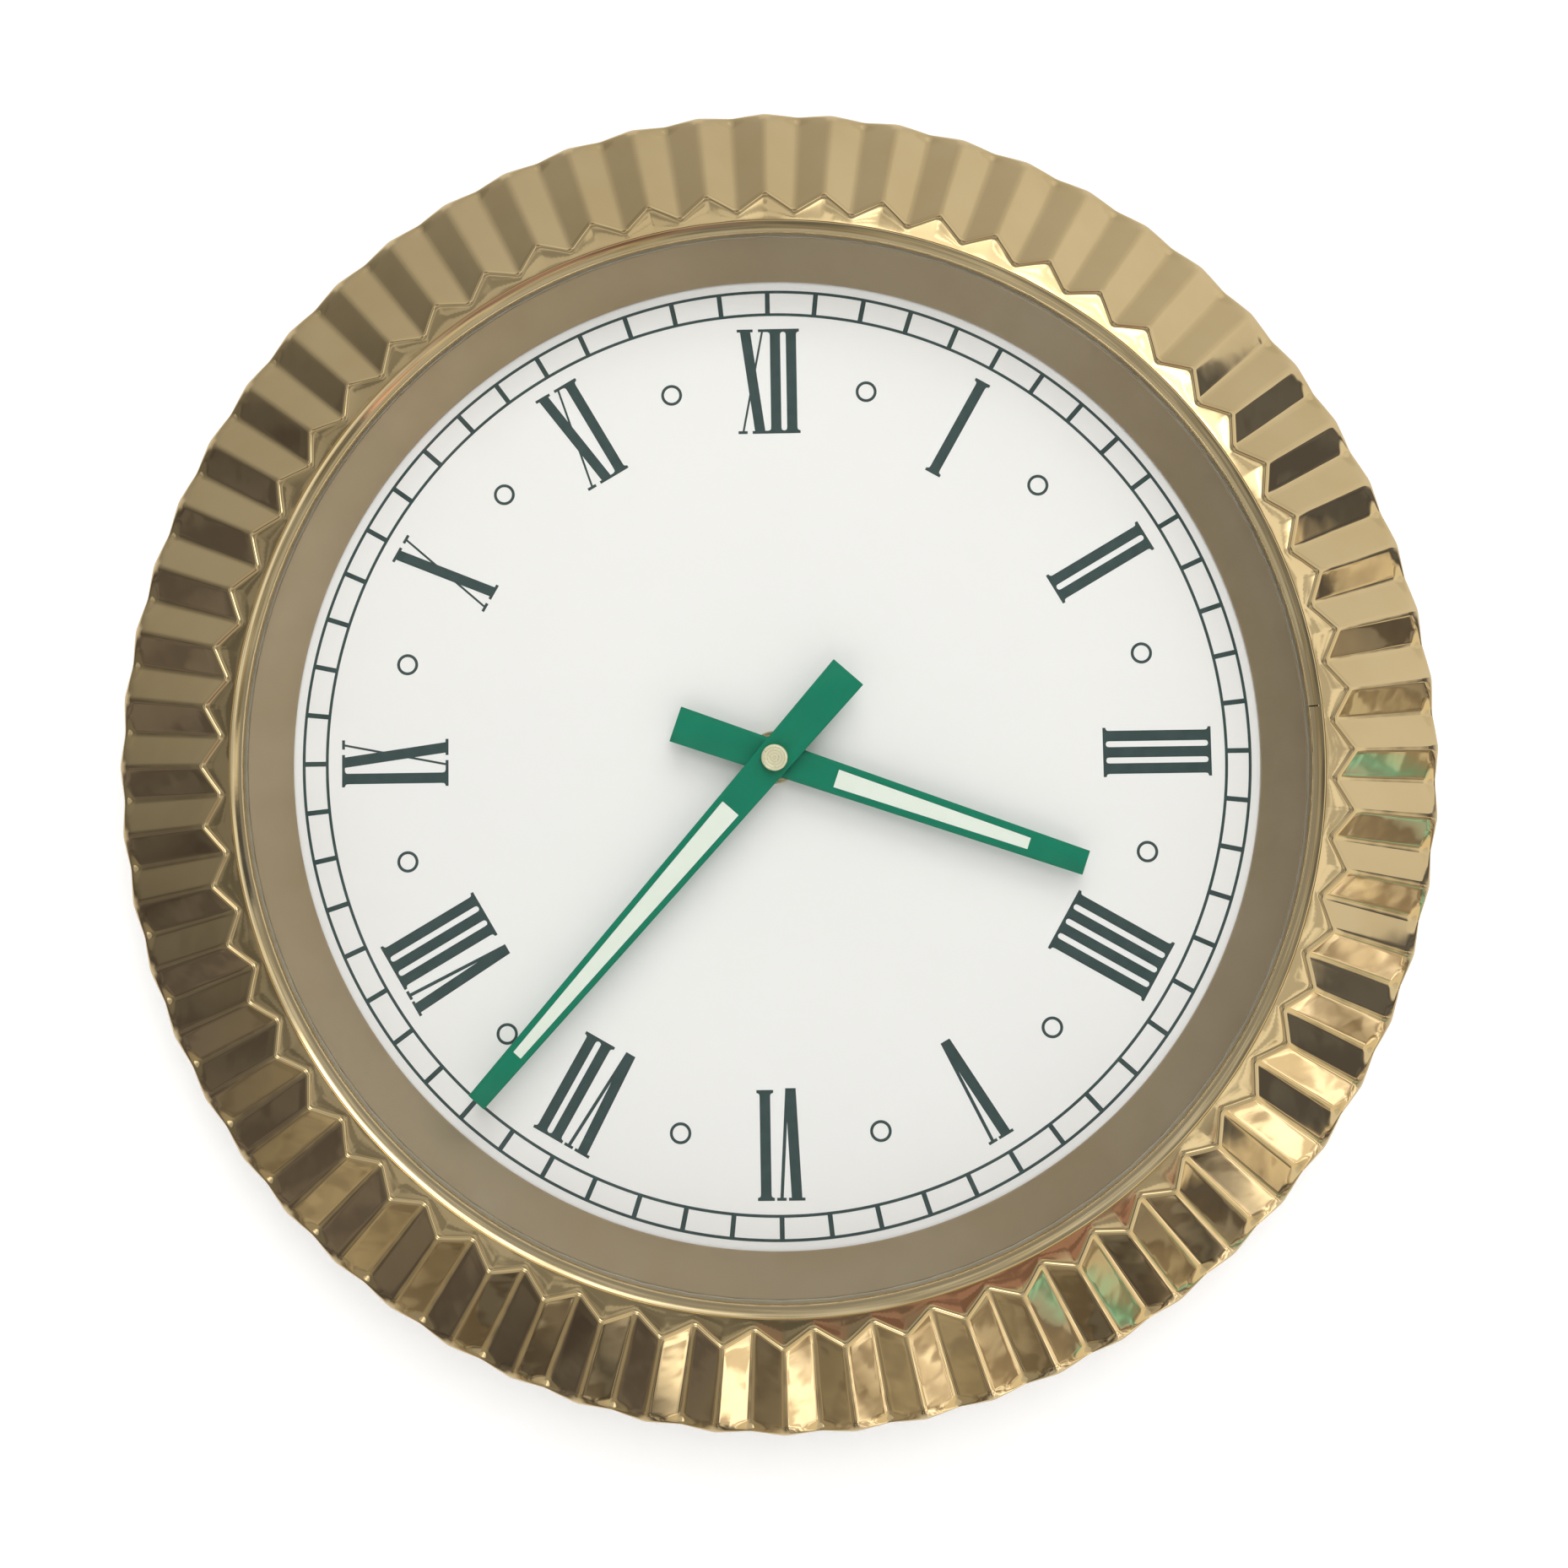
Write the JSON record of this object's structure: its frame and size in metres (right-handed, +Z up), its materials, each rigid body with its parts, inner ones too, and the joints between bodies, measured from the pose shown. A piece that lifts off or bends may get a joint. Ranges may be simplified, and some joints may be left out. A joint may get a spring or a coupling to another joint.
{
  "type": "wall clock",
  "caption": "Round battery wall clock with a fluted gold bezel, satin chapter ring, white dial, baton hands, flat lens and a geared quartz movement behind.",
  "frame": {"origin": "the nail: centre of the hanger slot's rounded upper end, on the plane of the wall", "axes": "+Z up, +Y into the wall, the dial faces -Y, the dial's centre is 110 mm below the origin"},
  "size_m": [0.3428, 0.043, 0.3428],
  "materials": {
    "gold_plate": "mirror-polished gold plating on pressed steel",
    "trim_gold_plate": "polished gold plating",
    "brass": "turned, satin",
    "zinc_plated_steel": "bright zinc",
    "satin_chapter_ring": "satin metallic paint",
    "white_dial": "smooth matt white, printed",
    "green_hand": "smooth green enamel",
    "cream_inlay": "matt cream luminous paint",
    "clear_lens": "clear flat glass",
    "black_plastic": "fine moulded texture",
    "grey_movement_plastic": "moulded, satin",
    "gear_plastic": "moulded natural plastic",
    "black_rubber": "matt",
    "beige_rubber": "matt",
    "copper_wire": "enamelled winding wire",
    "stator_iron": "bright lamination",
    "circuit_board": "green solder mask",
    "battery_wrap": "plain printed sleeve"
  },
  "bodies": {
    "case": {"battery": "battery_wrap", "bezel": "gold_plate", "case_screw_1": "zinc_plated_steel", "case_screw_2": "zinc_plated_steel", "case_screw_3": "zinc_plated_steel", "case_screw_4": "zinc_plated_steel", "case_screw_5": "zinc_plated_steel", "case_screw_6": "zinc_plated_steel", "chapter_ring": "satin_chapter_ring", "chip": "black_plastic", "circuit_board": "circuit_board", "coil_bobbin": "black_plastic", "coil_winding": "copper_wire", "contact_negative": "zinc_plated_steel", "contact_positive": "zinc_plated_steel", "dial": "white_dial", "hanger_plate": "zinc_plated_steel", "hanger_screw_1": "zinc_plated_steel", "hanger_screw_2": "zinc_plated_steel", "hex_nut": "brass", "lens": "clear_lens", "lens_gasket": "beige_rubber", "movement_base": "grey_movement_plastic", "movement_cover": "grey_movement_plastic", "post_washer": "brass", "quartz_crystal": "zinc_plated_steel", "rear_case": "black_plastic", "rubber_gasket": "black_rubber", "stator": "stator_iron", "threaded_post": "brass", "trim_ring": "trim_gold_plate"},
    "minute_hand_body": {"minute_hand": "green_hand", "minute_hand_inlay": "cream_inlay", "minute_hand_bush": "brass", "cap_nut": "brass", "minute_arbor": "brass"},
    "hour_hand_body": {"hour_hand": "green_hand", "hour_hand_inlay": "cream_inlay", "hour_hand_collet": "brass", "hour_wheel": "gear_plastic"},
    "minute_wheel_body": {"minute_wheel": "gear_plastic"},
    "setting_knob_body": {"setting_knob": "gear_plastic"},
    "rotor_body": {"rotor": "stator_iron"},
    "intermediate_wheel_body": {"intermediate_wheel": "gear_plastic"},
    "second_wheel_body": {"second_wheel": "gear_plastic"},
    "third_wheel_body": {"third_wheel": "gear_plastic"},
    "centre_wheel_body": {"centre_wheel": "gear_plastic"}
  },
  "joints": [
    {"name": "minute_hand_spin", "type": "hinge", "parent": "case", "child": "minute_hand_body", "pos_m": [0, -0.02, -0.11], "axis": [0, 1, 0], "continuous": true},
    {"name": "hour_hand_spin", "type": "hinge", "parent": "case", "child": "hour_hand_body", "pos_m": [0, -0.02, -0.11], "axis": [0, 1, 0], "continuous": true},
    {"name": "minute_wheel_spin", "type": "hinge", "parent": "case", "child": "minute_wheel_body", "pos_m": [-0.008, -0.02, -0.11], "axis": [0, 1, 0], "continuous": true},
    {"name": "setting_knob_spin", "type": "hinge", "parent": "case", "child": "setting_knob_body", "pos_m": [-0.01447, -0.02, -0.1053], "axis": [0, 1, 0], "continuous": true},
    {"name": "rotor_spin", "type": "hinge", "parent": "case", "child": "rotor_body", "pos_m": [0.00661, -0.02, -0.09356], "axis": [0, 1, 0], "continuous": true},
    {"name": "intermediate_wheel_spin", "type": "hinge", "parent": "case", "child": "intermediate_wheel_body", "pos_m": [0.01333, -0.02, -0.09356], "axis": [0, 1, 0], "continuous": true},
    {"name": "second_wheel_spin", "type": "hinge", "parent": "case", "child": "second_wheel_body", "pos_m": [0.01458, -0.02, -0.10065], "axis": [0, 1, 0], "continuous": true},
    {"name": "third_wheel_spin", "type": "hinge", "parent": "case", "child": "third_wheel_body", "pos_m": [0.0054, -0.02, -0.10065], "axis": [0, 1, 0], "continuous": true},
    {"name": "centre_wheel_spin", "type": "hinge", "parent": "case", "child": "centre_wheel_body", "pos_m": [0, -0.02, -0.11], "axis": [0, 1, 0], "continuous": true}
  ],
  "couplings": [
    {"joint": "hour_hand_spin", "follows": "minute_hand_spin", "ratio": 0.083333},
    {"joint": "minute_wheel_spin", "follows": "minute_hand_spin", "ratio": -0.33333},
    {"joint": "setting_knob_spin", "follows": "minute_hand_spin", "ratio": 1},
    {"joint": "intermediate_wheel_spin", "follows": "rotor_spin", "ratio": -0.16667},
    {"joint": "second_wheel_spin", "follows": "rotor_spin", "ratio": 0.033333},
    {"joint": "third_wheel_spin", "follows": "rotor_spin", "ratio": -0.0044444},
    {"joint": "centre_wheel_spin", "follows": "rotor_spin", "ratio": 0.00055556}
  ]
}
